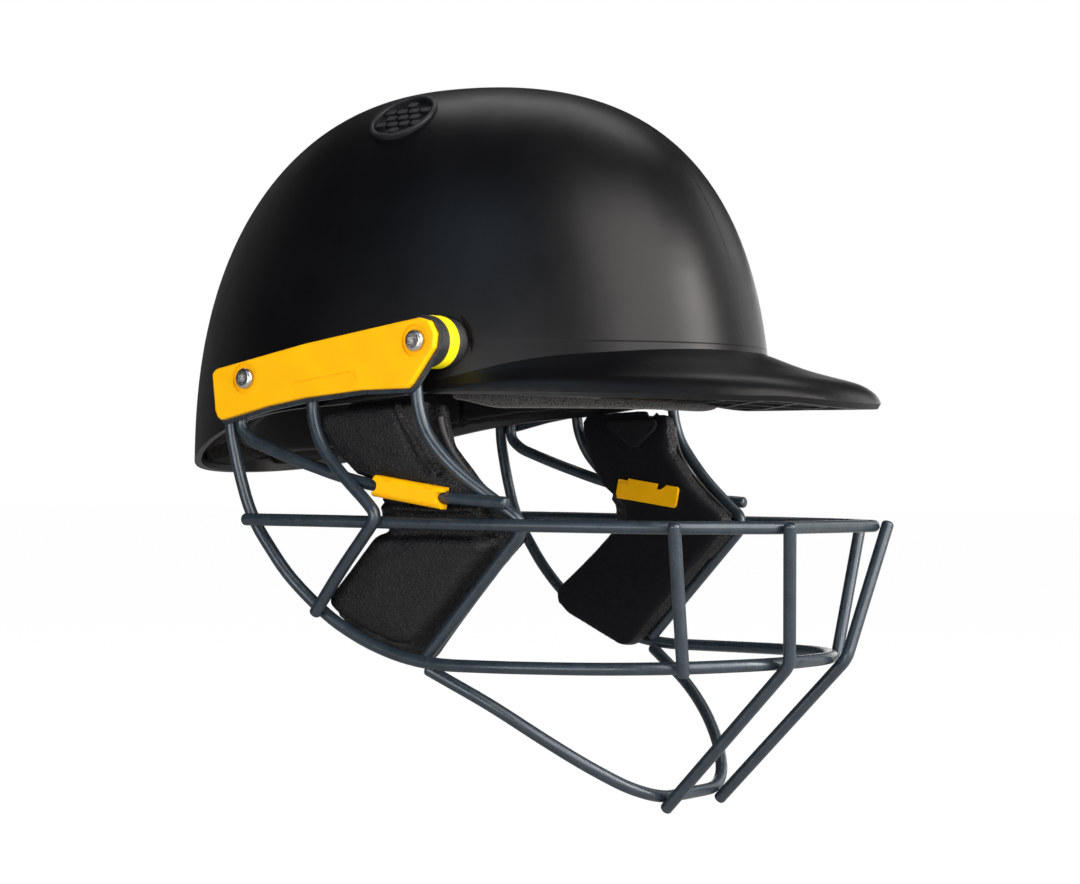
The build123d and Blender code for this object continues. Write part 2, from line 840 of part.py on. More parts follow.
# guard wires: each later wire is cut back to the ones it is welded to
lower_bar = wire_rod(both_ends(rear_arc_points))
lower_bar = trimmed(lower_bar, plate, other_side(plate))
corner = len(upper_bar_points) - 1
upper_bends = {corner: bar_corner_round, corner + 1: bar_corner_round}
upper_bar = trimmed(wire_rod(both_ends(upper_bar_points), upper_bends), lower_bar)
chin_bar = trimmed(wire_rod(both_ends(chin_bar_points)), lower_bar)
inner_vertical = wire_rod(inner_vertical_points, {1: vertical_bend})
inner_vertical = trimmed(inner_vertical, upper_bar, lower_bar, chin_bar)
outer_vertical = trimmed(wire_rod(outer_vertical_points), upper_bar, lower_bar)
elbow = len(front_brace_points) - 2
front_brace = trimmed(wire_rod(front_brace_points, {elbow: elbow_bend}), plate, upper_bar, lower_bar)
clip_rod = trimmed(wire_rod(clip_rod_points, {1: clip_rod_bend}), plate, lower_bar, front_brace)
side_brace = wire_rod(side_brace_points, {side_brace_apex: elbow_bend})
side_brace = trimmed(side_brace, plate, upper_bar, lower_bar, clip_rod)
export_step(lower_bar, "parts/lower_bar.step")
export_step(upper_bar, "parts/upper_bar.step")
export_step(chin_bar, "parts/chin_bar.step")
export_pair(inner_vertical, "inner_vertical")
export_pair(outer_vertical, "outer_vertical")
export_pair(front_brace, "front_brace")
export_pair(clip_rod, "clip_rod")
export_pair(side_brace, "side_brace")
print("wires done")

# pad clips: a channel on the rod with four legs, and the notched plate on the pad's inner face
lean_plane = clip_plane(clip_rod_station, *clip_centre)
channel_outer = wire_radius + clip_wall
channel_deep = channel_outer + clip_grip
channel_middle = Pos(0, 0, (channel_outer - clip_grip) / 2)
channel = channel_middle * Box(clip_length, clip_height, channel_deep)
long_edges = ShapeList([edge for edge in channel.edges() if edge.length > clip_length - clip_round])
channel = fillet(long_edges.sort_by(Axis.Z)[-2:], clip_round)
scoops = []
clip_slots = []
legs = []
leg_slots = []
leg_notches = []
leg_offset = (clip_height - leg_thick) / 2
leg_reach = clip_rod_station - pad_point(*clip_centre, leg_stop_short - inner_plate_thick).X
for end in (-1, 1):
    scoops.append(Pos(end * clip_length / 2, 0, 0) * Cylinder(clip_end_scoop, 2 * channel_outer + overrun))
    for side in (-1, 1):
        along, across = end * leg_spacing / 2, side * leg_offset
        slot_across = side * (clip_height - clip_round) / 2
        slot_place = Pos(along, slot_across, channel_outer)
        clip_slots.append(slot_place * Box(clip_slot_long, clip_slot_wide, 2 * clip_slot_deep))
        legs.append(Pos(along, across, -leg_reach / 2) * Box(leg_long, leg_thick, leg_reach))
        slot = Box(leg_long + 2 * neighbour_gap, leg_thick + 2 * neighbour_gap, leg_reach + overrun)
        leg_slots.append(lean_plane.location * Pos(along, across, -leg_reach / 2) * slot)
        notch_high = leg_thick + 2 * leg_fit + overrun
        notch = Box(leg_long + 2 * leg_fit, notch_high, leg_reach + overrun)
        notch_across = side * (leg_offset + overrun / 2)
        leg_notches.append(lean_plane.location * Pos(along, notch_across, -leg_reach / 2) * notch)
pad_clip = Part() + channel - scoops - clip_slots + legs
pad_clip = Part() + lean_plane.location * pad_clip - clip_rod
export_pair(pad_clip, "pad_clip")

pad_up = pad_plane().z_dir
plate_middle = pad_point(clip_centre[0] + inner_plate_lead, clip_centre[1], -inner_plate_thick)
rod_way = lean_plane.x_dir
rod_way = (rod_way - pad_up * rod_way.dot(pad_up)).normalized()
plate_plane = Plane(origin=plate_middle, x_dir=rod_way, z_dir=pad_up)
plate_sketch = RectangleRounded(inner_plate_length, inner_plate_height, inner_plate_corner)
clip_plate = plate_plane.location * extrude(plate_sketch, inner_plate_thick)
clip_plate = Part() + clip_plate - leg_notches
export_pair(clip_plate, "clip_plate")

# cheek pads: slab that widens outward, tongue into the shell, two lobes, slots for the clip
slab_wires = []
for outline, rise in ((pad_outline, 0), (pad_outer_outline, pad_slab)):
    slab_wires.append(pad_face(outline, rise, pad_corner).outer_wire())
pad = Solid.make_loft(slab_wires, ruled=True)
inner_face = pad.faces().sort_by(SortBy.AREA)[-2:].sort_by(Axis.X)[0]
pad = fillet(inner_face.edges(), pad_slab_round)
grown = (-neighbour_gap, -neighbour_gap, -neighbour_gap, -neighbour_gap)
within_shell = dome_solid(liner_outer)
shell_room = Part() + dome_solid(grown) - within_shell - below_rim(-neighbour_gap)
tongue_face = pad_face(pad_tongue, 0, pad_tongue_corner)
if tongue_face.normal_at().dot(pad_up) < 0:
    tongue_face = -tongue_face
tongue = extrude(tongue_face, pad_slab, dir=pad_up) & within_shell
lobes = [
    pad_lobe(upper_lobe, upper_lobe_rise, upper_lobe_draw, upper_lobe_lean, upper_lobe_centre),
    pad_lobe(middle_lobe, middle_lobe_rise, middle_lobe_draw, middle_lobe_lean, middle_lobe_centre),
    pad_lobe(lower_lobe, lower_lobe_rise, lower_lobe_draw, lower_lobe_lean, lower_lobe_centre),
]
pad = Part() + pad + tongue + lobes
piping_rise = pad_slab + piping_radius * piping_rise_share
piping_path = Spline([pad_point(y, z, piping_rise) for y, z in piping_points])
piping_section = Plane(origin=piping_path @ 0, z_dir=piping_path % 0) * Circle(piping_radius)
piping = sweep(piping_section, path=piping_path)
piping = trimmed(piping, pad)
clip_room = Box(
    clip_length + 2 * neighbour_gap,
    clip_height + 2 * neighbour_gap,
    channel_deep + 2 * neighbour_gap,
)
clip_room = lean_plane.location * channel_middle * clip_room
rod_room = wire_rod(clip_rod_points, {1: clip_rod_bend}, wire_radius + neighbour_gap)
pad = pad - leg_slots - clip_room - rod_room - shell_room
print("pad", pad.is_valid, len(pad.solids()), round(pad.volume))
export_pair(pad, "cheek_pad")
export_pair(piping, "pad_piping")
tab_face = pad_face(tab_outline, -tab_thickness, tab_corner)
if tab_face.normal_at().dot(pad_up) < 0:
    tab_face = -tab_face
tab = extrude(tab_face, tab_thickness, dir=pad_up)
export_pair(tab, "pad_tab")
print("pads done")

# liner: one moulded crown with pockets for the nuts and ducts to the vents
liner = Part() + dome_solid(liner_outer) - dome_solid(liner_inner) - below_rim(liner_rim_rise)
pockets = []
for place, station in ((front_mount, bush_boss_inner), (rear_mount, rear_boss_inner)):
    pocket = x_cylinder(nut_pocket_radius, station - nut_flange_thickness - neighbour_gap, plate_inner, place)
    boss_room = x_cylinder(bush_boss_radius + neighbour_gap, station - neighbour_gap, plate_inner, place)
    pockets += [pocket, other_side(pocket), boss_room, other_side(boss_room)]
duct = grille_plane.location * Cylinder(duct_radius, 4 * duct_radius)
liner = liner - pockets - [duct, other_side(duct)]
print("liner", liner.is_valid, len(liner.solids()), round(liner.volume))
export_step(liner, "parts/impact_liner.step")

# comfort pads: parts of one padded layer inside the liner
comfort = Part() + dome_solid(comfort_outer) - dome_solid(comfort_inner)
raised_rim = below_rim(comfort_rim_rise)
far_out = 2 * dome_front_reach
front_band = comfort & slab_between(1, -far_out, front_band_rear)
front_band = front_band & slab_between(2, front_band_low, front_band_high)
side_bands = (comfort - raised_rim) & slab_between(1, side_band_front, side_band_rear)
side_bands = side_bands & slab_between(2, lowest_level, side_band_high)
side_pad = side_bands.solids().sort_by(Axis.X)[-1]
rear_band = (comfort - raised_rim) & slab_between(1, rear_band_front, far_out)
rear_band = rear_band & slab_between(2, lowest_level, rear_band_high)
crown_ring = Cylinder(crown_pad_radius, far_out) - Cylinder(crown_hole_radius, far_out)
crown_pad = comfort & Pos(0, crown_pad_centre, 0) * crown_ring & slab_between(2, crown_pad_radius, far_out)
export_step(front_band, "parts/front_headband.step")
export_pair(side_pad, "side_comfort_pad")
export_step(rear_band, "parts/rear_comfort_pad.step")
export_step(crown_pad, "parts/crown_comfort_pad.step")
for name, shape in (("front", front_band), ("side", side_pad), ("rear", rear_band), ("crown", crown_pad)):
    print(name, shape.is_valid, len(shape.solids()), round(shape.volume))
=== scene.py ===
"""Looks of the cricket helmet: matt moulded shell, coated wire guard, soft cheek pads and lining."""
import math

import bpy
from mathutils import Matrix, Vector


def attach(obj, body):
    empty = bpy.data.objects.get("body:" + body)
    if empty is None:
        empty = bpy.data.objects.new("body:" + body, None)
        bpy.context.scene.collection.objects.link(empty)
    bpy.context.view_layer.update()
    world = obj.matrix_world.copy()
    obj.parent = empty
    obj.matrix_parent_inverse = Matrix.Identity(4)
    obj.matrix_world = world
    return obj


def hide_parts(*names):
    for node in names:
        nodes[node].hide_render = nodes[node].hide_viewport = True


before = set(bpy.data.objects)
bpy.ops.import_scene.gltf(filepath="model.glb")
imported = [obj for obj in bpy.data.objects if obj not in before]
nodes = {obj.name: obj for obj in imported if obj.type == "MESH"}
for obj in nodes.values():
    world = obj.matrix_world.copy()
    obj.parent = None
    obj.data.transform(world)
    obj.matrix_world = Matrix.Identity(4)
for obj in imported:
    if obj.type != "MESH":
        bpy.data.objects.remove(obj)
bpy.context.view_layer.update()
MM = 0.001
HELMET = "helmet"
WHITE = (1, 1, 1)

# The camera, as solved from the photo: place in mm, angles in degrees, lens and sensor in mm.
CAMERA_PLACE = (-878.5, -623.5, -34.3)
CAMERA_TURN = -55.97
CAMERA_TILT = -1.161
CAMERA_ROLL = 0.2136
CAMERA_LENS = 83.33
CAMERA_SENSOR = 36
CAMERA_NEAREST = 0.05
CAMERA_FURTHEST = 60

# The studio, in metres and in the camera's own directions from the middle of the helmet.
HELMET_MIDDLE = (0, -0.02, 0.02)
WORLD_FILL = 0.03
FLOOR_LEVEL = -0.205
FLOOR_SIZE = 40
FLOOR_GREY = 0.50
FLOOR_ROUGHNESS = 0.9
FLOOR_GLOW = 1.095
FLOOR_GLOW_SHARE = 0.9
FAINTLY_WARM = (1.0, 0.965, 0.93)
WARM = (1.0, 0.96, 0.92)
COOL = (0.55, 0.76, 1.0)

# Each lamp: its name, place (across, above, towards the camera), width, height, radiance, colour.
LAMPS = (
    ("key_box", (-0.78, -0.06, 1.35), 1.4, 0.55, 6.9, WHITE),
    ("right_box", (1.08, 0.30, 0.40), 0.42, 0.85, 14.0, WARM),
    ("front_right_box", (0.66, 0.55, 0.95), 1.0, 1.5, 5.2, FAINTLY_WARM),
    ("back_right_box", (1.20, 0.30, -0.80), 0.8, 1.2, 1.3, WHITE),
    ("back_left_box", (-1.00, 0.20, -1.00), 1.2, 1.2, 0.12, WHITE),
    ("top_box", (0.10, 1.25, -0.65), 1.2, 0.6, 1.9, WHITE),
    ("backdrop_box", (0.45, 0.08, -1.45), 1.1, 0.4, 2.0, WHITE),
    ("cool_box", (-0.72, 0.85, 0.95), 0.6, 0.6, 1.5, COOL),
)

# Lines in the shell's skin, in metres: each pair is where one fades in or out.
BRIM_STEP_RISE = (0.0246, 0.0254)
BRIM_STEP_FRONT = (-0.052, -0.036)
SEAM_HALF_WIDTH = (0.0001, 0.0006)
SEAM_FRONT = (-0.075, -0.060)
SEAM_FOOT = (0.028, 0.034)

# Making the soft pieces, in metres.
MERGE_DISTANCE = 0.00002
EASE_FACTOR = 0.5
CLOTH_FRAMES = 20
CLOTH_QUALITY = 5
CLOTH_MASS = 0.3
CLOTH_STRETCH = 15
CLOTH_BEND = 2
PAD_VOXEL = 0.0015
PAD_PRESSURE = 4.0
PAD_MOST_SWELL = 0.0009
PAD_SHRINK = 0.0003
FELT_DEPTH = 1.6 * MM
LINER_VOXEL = 0.0020
LINING_VOXEL = 0.0018
BAND_VOXEL = 0.0014
TAB_VOXEL = 0.0006

# A pad's flat inner face: its place along X in mm, and how it leans outwards along Y and Z.
INNER_FACE = 83.9
INNER_FACE_LEAN_Y = 0.0568
INNER_FACE_LEAN_Z = 0.0949

# Folds of the pads' skin, as (Y, Z) corners in mm, height and half width in mm.
SKIN_FOLDS = {
    "groove behind the strip": ([(-23.5, 1.7), (-28.1, -7.4), (-34.9, -20.5), (-41.0, -27.2)], -0.9, 0.9),
    "strip beside the brace": ([(-25.0, 2.5), (-29.8, -7.4), (-37.0, -20.5), (-42.7, -27.0)], 0.6, 0.7),
    "groove before the strip": ([(-26.4, 3.3), (-31.4, -7.4), (-39.1, -20.5), (-44.3, -26.8)], -0.9, 0.9),
    "groove under the rod": ([(-17.0, -37.6), (-39.1, -38.4), (-60.0, -38.0)], -1.2, 1.3),
    "roll under the groove": ([(-20.7, -40.6), (-41.8, -41.3), (-60.3, -40.8)], 1.1, 1.2),
    "lower lobe's brow": ([(-15.5, -55.4), (-20.4, -54.2), (-48.5, -53.8), (-60.8, -55.2)], 0.8, 2.2),
    "crest": ([(-26.4, -0.8), (-28.4, -6.1), (-36.2, -16.7), (-42.2, -24.5), (-52.0, -29.0)], 0.8, 2.4),
}
FOLD_LEVEL = 3.0
FOLD_FACING = 0.25
FOLD_REACH = 3

# The pads' pulled rear edge, raised front top corner and inner dimple: lengths in mm, pairs as above.
REAR_PULL = 4.0
REAR_PULL_LEVEL = (1.5, 6)
REAR_PULL_BEHIND = (-30, -21)
REAR_PULL_BOTTOM = (-50, -45)
REAR_PULL_TOP = (-38, -34)
CORNER_LIFT = 4.2
CORNER_ABOVE = (-7, -1)
CORNER_FRONT = (-48, -43)
CORNER_REAR = (-36, -31)
DIMPLE_PLACE = (-32.2, -71.1)
DIMPLE_DEPTH = 1.3
DIMPLE_RADIUS = 2.2
DIMPLE_LEVEL = 1.5

# The headband's lifted lower edge, in mm.
BAND_EDGE = (-0.8, 16)
BAND_TIP = (-56, -37)
BAND_TIP_LIFT = 3.4
BAND_FAR_HALF = (5, 45)
BAND_FAR_LIFT = 2.6

# The hollows in the liner's lower edge: lengths in mm, the rest in shares of its oval.
LINER_HALF_WIDTH = 93.4
LINER_HALF_LENGTH = 132.0
LINER_MIDDLE = 14.7
LINER_ROUNDNESS = 2.05
LINER_EDGE_LEVEL = 4
LINER_EDGE_FACING = -0.55
HOLLOW_DEPTH = 5.5
HOLLOWS_AROUND = 13
HOLLOWS_TURNED = 0.8
HOLLOW_RIM = (-0.1, 0.5)
HOLLOW_BAND_SHARE = 0.72
HOLLOW_BAND_WIDTH_SHARE = 0.13

FINISH_OF = {
    "outer_shell": "shell", "vent_grille": "grille", "plate_cover": "amber", "side_plate": "wire",
    "outer_bush": "rubber", "bush_ring": "lemon", "inner_bush": "rubber", "rear_bush": "rubber",
    "mounting_screws": "steel", "shell_nuts": "steel", "lower_bar": "wire", "upper_bar": "wire",
    "chin_bar": "wire", "inner_vertical": "wire", "outer_vertical": "wire", "front_brace": "wire",
    "clip_rod": "wire", "side_brace": "wire", "pad_clip": "amber", "clip_plate": "amber",
    "pad_piping": "rubber", "pad_tab": "tab_felt",
}


def camera_axes(turn, tilt, roll):
    back = Vector((math.sin(turn) * math.cos(tilt), -math.cos(turn) * math.cos(tilt), math.sin(tilt)))
    right = Vector((math.cos(turn), math.sin(turn), 0))
    up = back.cross(right)
    rolled_right = right * math.cos(roll) + up * math.sin(roll)
    rolled_up = up * math.cos(roll) - right * math.sin(roll)
    return rolled_right, rolled_up, back


def add_camera():
    angles = (math.radians(angle) for angle in (CAMERA_TURN, CAMERA_TILT, CAMERA_ROLL))
    right, up, back = camera_axes(*angles)
    lens = bpy.data.cameras.new("photo_camera")
    lens.sensor_width = CAMERA_SENSOR
    lens.lens = CAMERA_LENS
    lens.clip_start = CAMERA_NEAREST
    lens.clip_end = CAMERA_FURTHEST
    camera = bpy.data.objects.new("photo_camera", lens)
    bpy.context.scene.collection.objects.link(camera)
    place = Matrix((right, up, back)).transposed().to_4x4()
    place.translation = Vector(CAMERA_PLACE) * MM
    camera.matrix_world = place
    bpy.context.scene.camera = camera
    return right, up, back


def new_finish(name, colour, roughness, metallic=0.0, specular=0.5):
    finish = bpy.data.materials.new(name)
    finish.use_nodes = True
    tree = finish.node_tree
    shader = tree.nodes["Principled BSDF"]
    shader.inputs["Base Color"].default_value = (*colour, 1)
    shader.inputs["Roughness"].default_value = roughness
    shader.inputs["Metallic"].default_value = metallic
    shader.inputs["Specular IOR Level"].default_value = specular
    place = tree.nodes.new("ShaderNodeTexCoord")
    return finish, tree, shader, place.outputs["Object"]


def noise(tree, place, scale, detail=3.0, rough=0.5):
    grain = tree.nodes.new("ShaderNodeTexNoise")
    grain.inputs["Scale"].default_value = scale
    grain.inputs["Detail"].default_value = detail
    grain.inputs["Roughness"].default_value = rough
    tree.links.new(place, grain.inputs["Vector"])
    return grain.outputs["Fac"]


def cells(tree, place, scale):
    pattern = tree.nodes.new("ShaderNodeTexVoronoi")
    pattern.inputs["Scale"].default_value = scale
    tree.links.new(place, pattern.inputs["Vector"])
    return pattern.outputs["Distance"]


def tint(tree, shader, pattern, stops):
    """Colours a finish by a pattern, from (position, colour) stops."""
    steps = tree.nodes.new("ShaderNodeValToRGB")
    first, last = steps.color_ramp.elements
    first.position, first.color = stops[0][0], (*stops[0][1], 1)
    last.position, last.color = stops[-1][0], (*stops[-1][1], 1)
    for position, colour in stops[1:-1]:
        steps.color_ramp.elements.new(position).color = (*colour, 1)
    tree.links.new(pattern, steps.inputs["Fac"])
    tree.links.new(steps.outputs["Color"], shader.inputs["Base Color"])


def spread(tree, value, low, high, out_low, out_high, smooth=False):
    remap = tree.nodes.new("ShaderNodeMapRange")
    remap.interpolation_type = "SMOOTHSTEP" if smooth else "LINEAR"
    remap.inputs["From Min"].default_value = low
    remap.inputs["From Max"].default_value = high
    remap.inputs["To Min"].default_value = out_low
    remap.inputs["To Max"].default_value = out_high
    tree.links.new(value, remap.inputs["Value"])
    return remap.outputs["Result"]


def worn(tree, shader, pattern, low, high, finest, roughest):
    """Lets the roughness of a finish follow a pattern."""
    tree.links.new(spread(tree, pattern, low, high, finest, roughest), shader.inputs["Roughness"])


def sums(tree, kind, first, second):
    step = tree.nodes.new("ShaderNodeMath")
    step.operation = kind
    for socket, value in zip(step.inputs, (first, second)):
        if isinstance(value, (int, float)):
            socket.default_value = value
        else:
            tree.links.new(value, socket)
    return step.outputs["Value"]


def bump(tree, shader, height, distance, strength, before=None):
    relief = tree.nodes.new("ShaderNodeBump")
    relief.inputs["Strength"].default_value = strength
    relief.inputs["Distance"].default_value = distance
    tree.links.new(height, relief.inputs["Height"])
    if before is not None:
        tree.links.new(before, relief.inputs["Normal"])
    tree.links.new(relief.outputs["Normal"], shader.inputs["Normal"])
    return relief.outputs["Normal"]


def axis_value(tree, place, axis):
    split = tree.nodes.new("ShaderNodeSeparateXYZ")
    tree.links.new(place, split.inputs["Vector"])
    return split.outputs[axis]


def matt_shell():
    """Moulded shell, with the fine step above its brim and the parting seam over its crown."""
    finish, tree, shader, place = new_finish("matt_shell", (0.0020, 0.0021, 0.0026), 0.35, specular=0.24)
    cloudy = noise(tree, place, 22)
    tint(tree, shader, cloudy, [(0.3, (0.0016, 0.0017, 0.0022)), (0.7, (0.0025, 0.0026, 0.0032))])
    worn(tree, shader, noise(tree, place, 60, 4), 0.35, 0.65, 0.34, 0.385)
    fine = bump(tree, shader, noise(tree, place, 1400, 2), 0.00004, 0.35)
    aside = sums(tree, "ABSOLUTE", axis_value(tree, place, "X"), 0.0)
    forward = axis_value(tree, place, "Y")
    level = axis_value(tree, place, "Z")
    step = spread(tree, level, *BRIM_STEP_RISE, 0.0, 1.0, smooth=True)
    front = spread(tree, forward, *BRIM_STEP_FRONT, 1.0, 0.0, smooth=True)
    ledge = bump(tree, shader, sums(tree, "MULTIPLY", step, front), 0.0006, 0.45, before=fine)
    parting = spread(tree, aside, *SEAM_HALF_WIDTH, 1.0, 0.0, smooth=True)
    ahead = spread(tree, forward, *SEAM_FRONT, 1.0, 0.0, smooth=True)
    over = sums(tree, "MULTIPLY", ahead, spread(tree, level, *SEAM_FOOT, 0.0, 1.0))
    bump(tree, shader, sums(tree, "MULTIPLY", parting, over), 0.0002, 0.5, before=ledge)
    return finish


def coated_wire():
    finish, tree, shader, place = new_finish(
        "coated_wire", (0.026, 0.038, 0.050), 0.30, metallic=0.35, specular=0.7)
    patchy = noise(tree, place, 160)
    tint(tree, shader, patchy, [(0.35, (0.022, 0.033, 0.044)), (0.65, (0.030, 0.043, 0.056))])
    worn(tree, shader, noise(tree, place, 420), 0.3, 0.7, 0.24, 0.38)
    bump(tree, shader, noise(tree, place, 700, 2), 0.00004, 0.2)
    return finish


def bright_plastic(name, colour):
    """Yellow moulded plastic of the side covers, clips and rings, in their two shades."""
    finish, tree, shader, place = new_finish(name, colour, 0.42, specular=0.16)
    dim = tuple(channel * 0.93 for channel in colour)
    tint(tree, shader, noise(tree, place, 90), [(0.35, dim), (0.65, colour)])
    worn(tree, shader, noise(tree, place, 300), 0.3, 0.7, 0.37, 0.48)
    bump(tree, shader, noise(tree, place, 1600, 2), 0.00004, 0.4)
    return finish


def black_rubber():
    finish, tree, shader, place = new_finish("black_rubber", (0.012, 0.012, 0.013), 0.55)
    tint(tree, shader, noise(tree, place, 300), [(0.3, (0.009, 0.009, 0.010)), (0.7, (0.018, 0.018, 0.019))])
    bump(tree, shader, noise(tree, place, 2200, 2), 0.00006, 0.5)
    return finish


def grey_moulding():
    finish, tree, shader, place = new_finish("grey_moulding", (0.009, 0.0095, 0.011), 0.44, specular=0.3)
    cloudy = noise(tree, place, 200)
    tint(tree, shader, cloudy, [(0.3, (0.007, 0.0075, 0.009)), (0.7, (0.012, 0.0125, 0.0145))])
    bump(tree, shader, noise(tree, place, 1500, 2), 0.00005, 0.4)
    return finish


def bright_steel():
    finish, tree, shader, place = new_finish("bright_steel", (0.62, 0.61, 0.60), 0.24, metallic=1.0)
    tint(tree, shader, noise(tree, place, 500), [(0.3, (0.52, 0.51, 0.50)), (0.7, (0.68, 0.67, 0.66))])
    worn(tree, shader, noise(tree, place, 900, 4), 0.3, 0.7, 0.18, 0.34)
    bump(tree, shader, noise(tree, place, 2500, 2), 0.00003, 0.4)
    return finish


def grained_foam():
    """Skin of the pads' outside: black, finely grained, with bright specks where it catches light."""
    finish, tree, shader, place = new_finish("grained_foam", (0.0026, 0.0026, 0.0034), 0.42, specular=0.32)
    grain = noise(tree, place, 260, 4)
    tint(tree, shader, grain, [(0.3, (0.0018, 0.0018, 0.0025)), (0.7, (0.0048, 0.0046, 0.0052))])
    worn(tree, shader, noise(tree, place, 900, 4), 0.35, 0.65, 0.22, 0.56)
    broad = bump(tree, shader, noise(tree, place, 330, 3, 0.6), 0.0005, 0.5)
    pebbles = bump(tree, shader, cells(tree, place, 1250), 0.0004, 0.8, before=broad)
    bump(tree, shader, noise(tree, place, 2600, 3, 0.7), 0.0002, 0.8, before=pebbles)
    return finish


def brushed_felt(name, low, high):
    finish, tree, shader, place = new_finish(name, low, 0.92, specular=0.12)
    tint(tree, shader, noise(tree, place, 520, 5, 0.7), [(0.3, low), (0.7, high)])
    shader.inputs["Sheen Weight"].default_value = 0.06
    shader.inputs["Sheen Roughness"].default_value = 0.5
    bump(tree, shader, noise(tree, place, 1500, 4, 0.7), 0.0002, 0.7)
    return finish


def open_foam():
    finish, tree, shader, place = new_finish("open_foam", (0.010, 0.0095, 0.009), 0.9, specular=0.15)
    bead = cells(tree, place, 420)
    tint(tree, shader, bead, [
        (0.0, (0.016, 0.015, 0.014)), (0.6, (0.008, 0.0076, 0.0072)), (1.0, (0.003, 0.003, 0.0028))])
    bump(tree, shader, bead, 0.0006, 0.6)
    return finish


def looped_terry():
    finish, tree, shader, place = new_finish("looped_terry", (0.080, 0.078, 0.076), 0.95, specular=0.2)
    loops = cells(tree, place, 1700)
    tint(tree, shader, loops, [
        (0.0, (0.11, 0.107, 0.103)), (0.6, (0.045, 0.044, 0.042)), (1.0, (0.012, 0.012, 0.012))])
    shader.inputs["Sheen Weight"].default_value = 0.3
    tufts = bump(tree, shader, noise(tree, place, 420, 3, 0.6), 0.0008, 0.5)
    bump(tree, shader, loops, 0.0005, 0.8, before=tufts)
    return finish


def soft_box(name, place, target, width, height, radiance, colour):
    lamp = bpy.data.lights.new(name, "AREA")
    lamp.shape = "RECTANGLE"
    lamp.size = width
    lamp.size_y = height
    lamp.energy = radiance * math.pi * width * height
    lamp.color = colour
    holder = bpy.data.objects.new(name, lamp)
    bpy.context.scene.collection.objects.link(holder)
    holder.location = place
    holder.rotation_euler = (target - place).to_track_quat("-Z", "Y").to_euler()


def light_world():
    world = bpy.data.worlds.new("studio_air")
    bpy.context.scene.world = world
    world.use_nodes = True
    tree = world.node_tree
    air = tree.nodes["Background"]
    air.inputs["Color"].default_value = (*WHITE, 1)
    path = tree.nodes.new("ShaderNodeLightPath")
    seen = sums(tree, "MAXIMUM", path.outputs["Is Camera Ray"], path.outputs["Is Transmission Ray"])
    tree.links.new(spread(tree, seen, 0.0, 1.0, WORLD_FILL, 1.0), air.inputs["Strength"])


def lay_floor():
    bpy.ops.object.select_all(action="DESELECT")
    bpy.ops.mesh.primitive_plane_add(size=FLOOR_SIZE, location=(0, 0, FLOOR_LEVEL))
    floor = bpy.context.object
    floor.name = "studio_floor"
    pale = bpy.data.materials.new("pale_floor")
    pale.use_nodes = True
    tree = pale.node_tree
    shader = tree.nodes["Principled BSDF"]
    shader.inputs["Base Color"].default_value = (FLOOR_GREY, FLOOR_GREY, FLOOR_GREY, 1)
    shader.inputs["Roughness"].default_value = FLOOR_ROUGHNESS
    glow = tree.nodes.new("ShaderNodeEmission")
    glow.inputs["Color"].default_value = (*WHITE, 1)
    glow.inputs["Strength"].default_value = FLOOR_GLOW
    seen = tree.nodes.new("ShaderNodeLightPath").outputs["Is Camera Ray"]
    joined = tree.nodes.new("ShaderNodeMixShader")
    tree.links.new(spread(tree, seen, 0.0, 1.0, 0.0, FLOOR_GLOW_SHARE), joined.inputs["Fac"])
    tree.links.new(shader.outputs["BSDF"], joined.inputs[1])
    tree.links.new(glow.outputs["Emission"], joined.inputs[2])
    tree.links.new(joined.outputs["Shader"], tree.nodes["Material Output"].inputs["Surface"])
    floor.data.materials.append(pale)


def add_studio(right, up, back):
    bpy.context.scene.view_settings.view_transform = "Standard"
    light_world()
    middle = Vector(HELMET_MIDDLE)
    for name, (across, above, towards), width, height, radiance, colour in LAMPS:
        place = middle + right * across + up * above + back * towards
        soft_box(name, place, middle, width, height, radiance, colour)
    lay_floor()


def only(piece):
    bpy.ops.object.select_all(action="DESELECT")
    piece.select_set(True)
    bpy.context.view_layer.objects.active = piece


def dress(piece, *coats):
    piece.data.materials.clear()
    for coat in coats:
        piece.data.materials.append(coat)


def copy_of(node, name):
    """A merged copy of a CAD node, as a start for a softer piece."""
    piece = bpy.data.objects.new(name, nodes[node].data.copy())
    bpy.context.scene.collection.objects.link(piece)
    only(piece)
    bpy.ops.object.mode_set(mode="EDIT")
    bpy.ops.mesh.select_all(action="SELECT")
    bpy.ops.mesh.remove_doubles(threshold=MERGE_DISTANCE)
    bpy.ops.mesh.customdata_custom_splitnormals_clear()
    bpy.ops.object.mode_set(mode="OBJECT")
    return piece


def apply_all(piece):
    only(piece)
    for modifier in list(piece.modifiers):
        bpy.ops.object.modifier_apply(modifier=modifier.name)


def remesh(piece, voxel):
    step = piece.modifiers.new("even_grid", "REMESH")
    step.mode = "VOXEL"
    step.voxel_size = voxel
    step.use_smooth_shade = True
    apply_all(piece)


def ease(piece, rounds):
    step = piece.modifiers.new("ease", "SMOOTH")
    step.factor = EASE_FACTOR
    step.iterations = rounds
    apply_all(piece)


